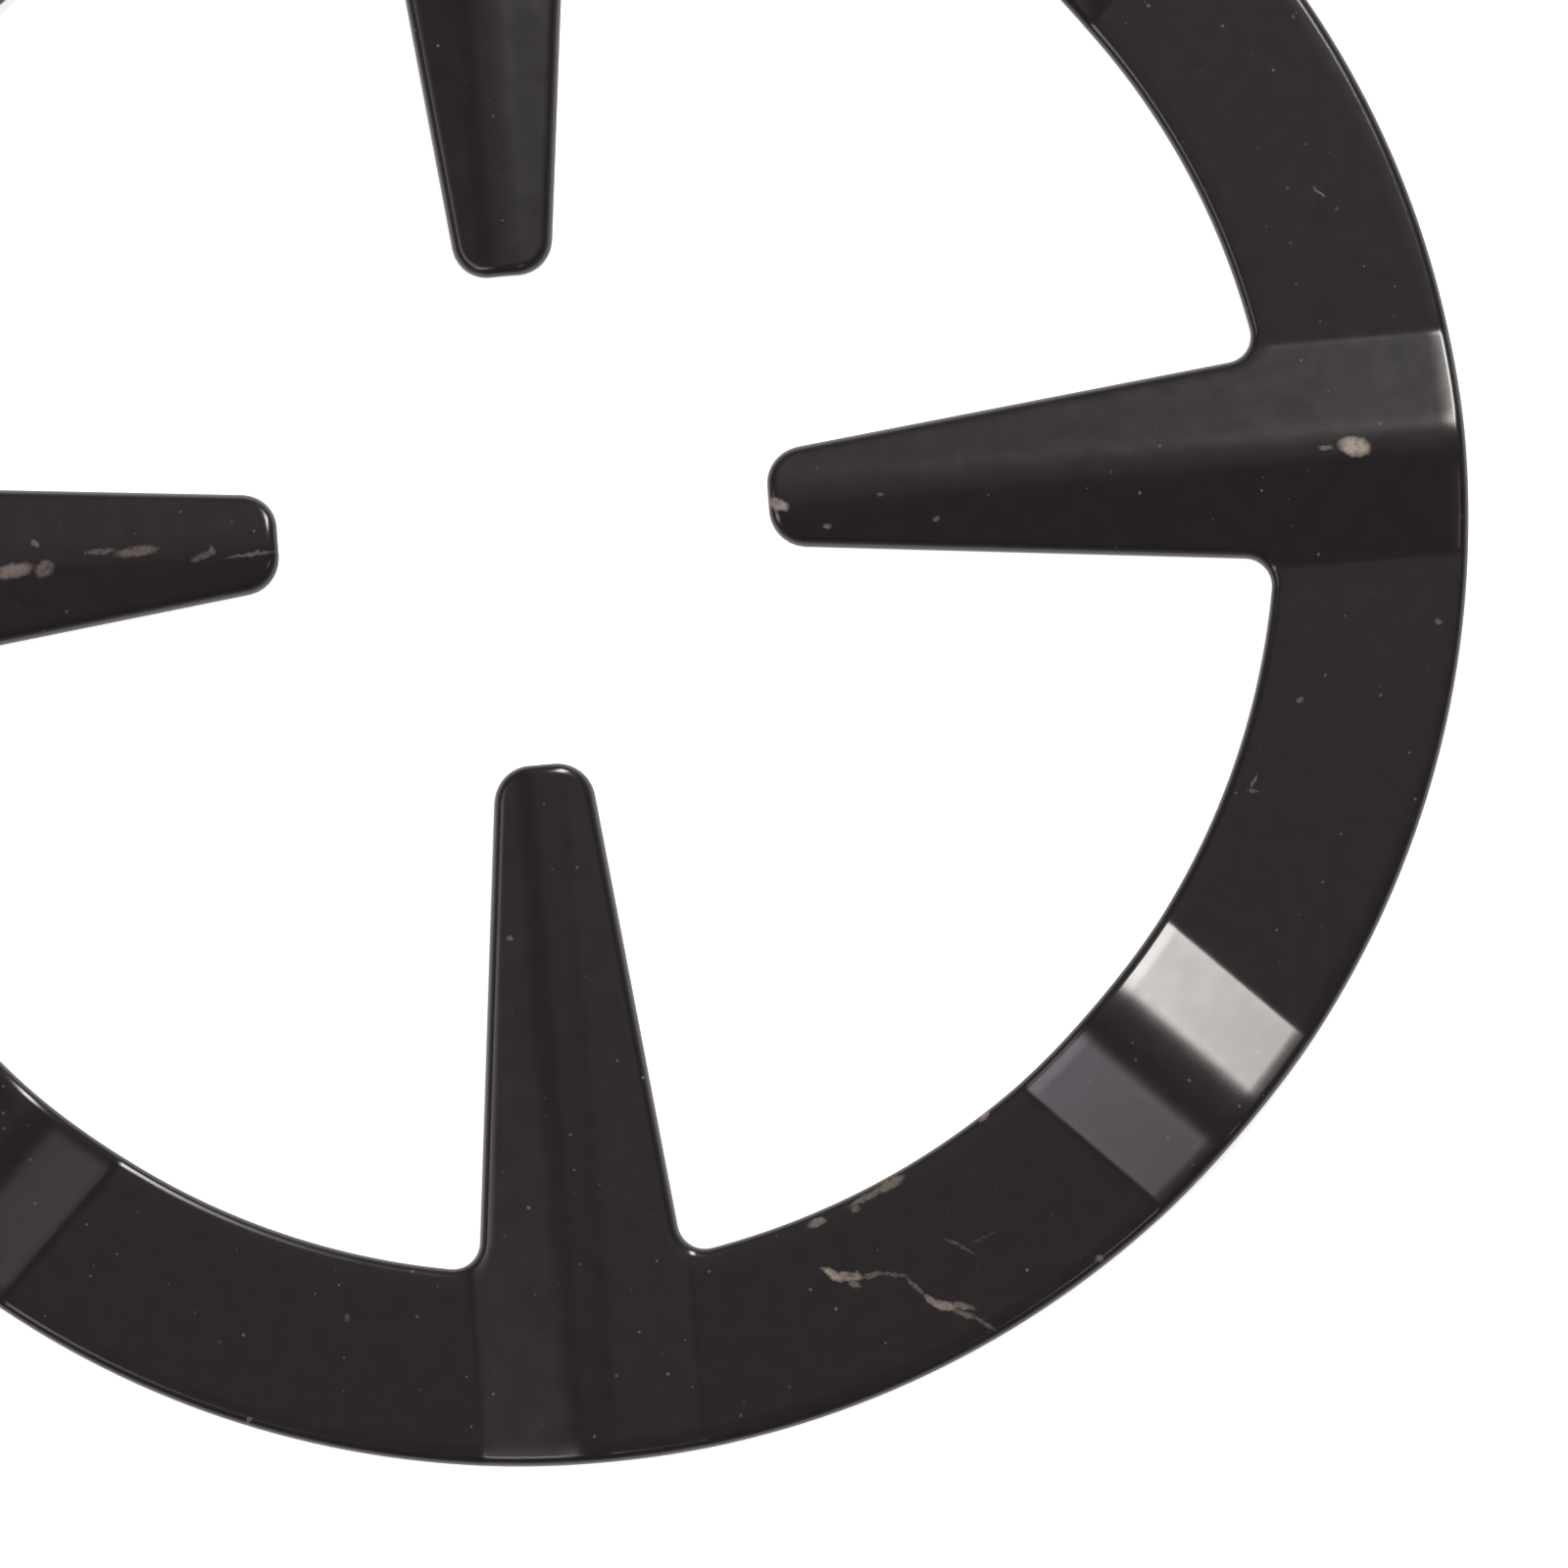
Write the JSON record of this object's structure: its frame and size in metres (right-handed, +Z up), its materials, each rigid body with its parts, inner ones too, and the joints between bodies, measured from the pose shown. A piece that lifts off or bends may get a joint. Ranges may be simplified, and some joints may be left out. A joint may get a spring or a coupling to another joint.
{
  "type": "stove reducer ring",
  "caption": "Flat round ring of enamelled steel sheet with tapered fingers pointing inwards and pressed ridges across it, for resting a small pot over a gas burner.",
  "frame": {"origin": "centre of the ring, on the plane of its flat underside", "axes": "+Z up, towards the side that the pressed ridges stand up from; +X and +Y each lie along a finger"},
  "size_m": [0.14, 0.14, 0.0033],
  "materials": {
    "black_enamel": "glossy black vitreous enamel on pressed steel, lightly worn"
  },
  "bodies": {
    "root": {"reducer_ring": "black_enamel"}
  },
  "joints": []
}
